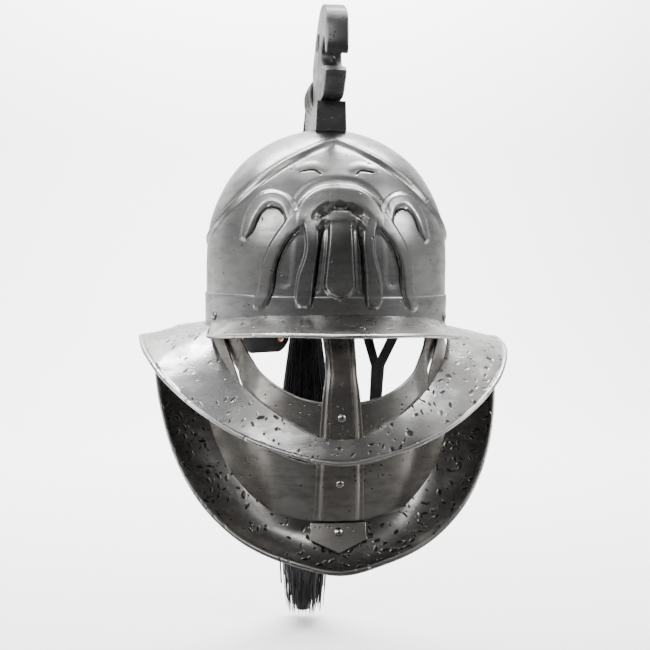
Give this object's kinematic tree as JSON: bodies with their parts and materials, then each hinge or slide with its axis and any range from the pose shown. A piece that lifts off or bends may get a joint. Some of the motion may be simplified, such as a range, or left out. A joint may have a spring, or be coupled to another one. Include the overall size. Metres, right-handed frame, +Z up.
{
  "type": "gladiator helmet",
  "caption": "Gladiator helmet of burnished sheet steel with a wide brim, face opening, chin flange, cast griffin-head crest and a long black horsehair plume.",
  "frame": {"origin": "middle of the crown's rim, where the helmet sits round the head", "axes": "+X wearer's left, +Y to the nape, +Z up; the face looks along -Y"},
  "size_m": [0.3564, 0.4366, 0.6529],
  "materials": {
    "burnished_steel": "worn polish with fine scratches",
    "dark_steel": "pitted dark patina",
    "cast_metal": "cast, aged grey-green",
    "nickel": "worn nickel plate",
    "copper": "polished copper",
    "leather": "black harness leather",
    "horsehair": "long black horsehair",
    "red_thread": "waxed thread"
  },
  "bodies": {
    "helmet": {"crown": "burnished_steel", "peak": "burnished_steel", "brim": "burnished_steel", "face_wall": "burnished_steel", "chin_wall": "dark_steel", "chin_flange": "dark_steel", "nose_bar": "burnished_steel", "tip_plate": "burnished_steel", "front_rivet_r": "burnished_steel", "front_rivet_l": "burnished_steel", "rear_rivet_r": "burnished_steel", "rear_rivet_l": "burnished_steel", "bar_rivet_upper": "nickel", "bar_rivet_lower": "nickel", "tip_rivet": "nickel", "crest_block": "cast_metal", "crest_head": "cast_metal", "crest_tongue": "burnished_steel", "crest_neck": "cast_metal", "neck_bracket": "burnished_steel", "bracket_strip": "leather", "plume": "horsehair", "plume_tie": "red_thread", "buckle_strap": "leather", "strap_keeper": "leather", "buckle_frame": "nickel", "plain_strap": "leather", "liner_flap": "leather", "liner_rivet": "copper"},
    "prong": {"buckle_prong": "nickel"}
  },
  "joints": [
    {"name": "prong_hinge", "type": "hinge", "parent": "helmet", "child": "prong", "pos_m": [0.1056, 0, -0.115], "axis": [0, -1, 0], "range_deg": [0, 105]}
  ]
}
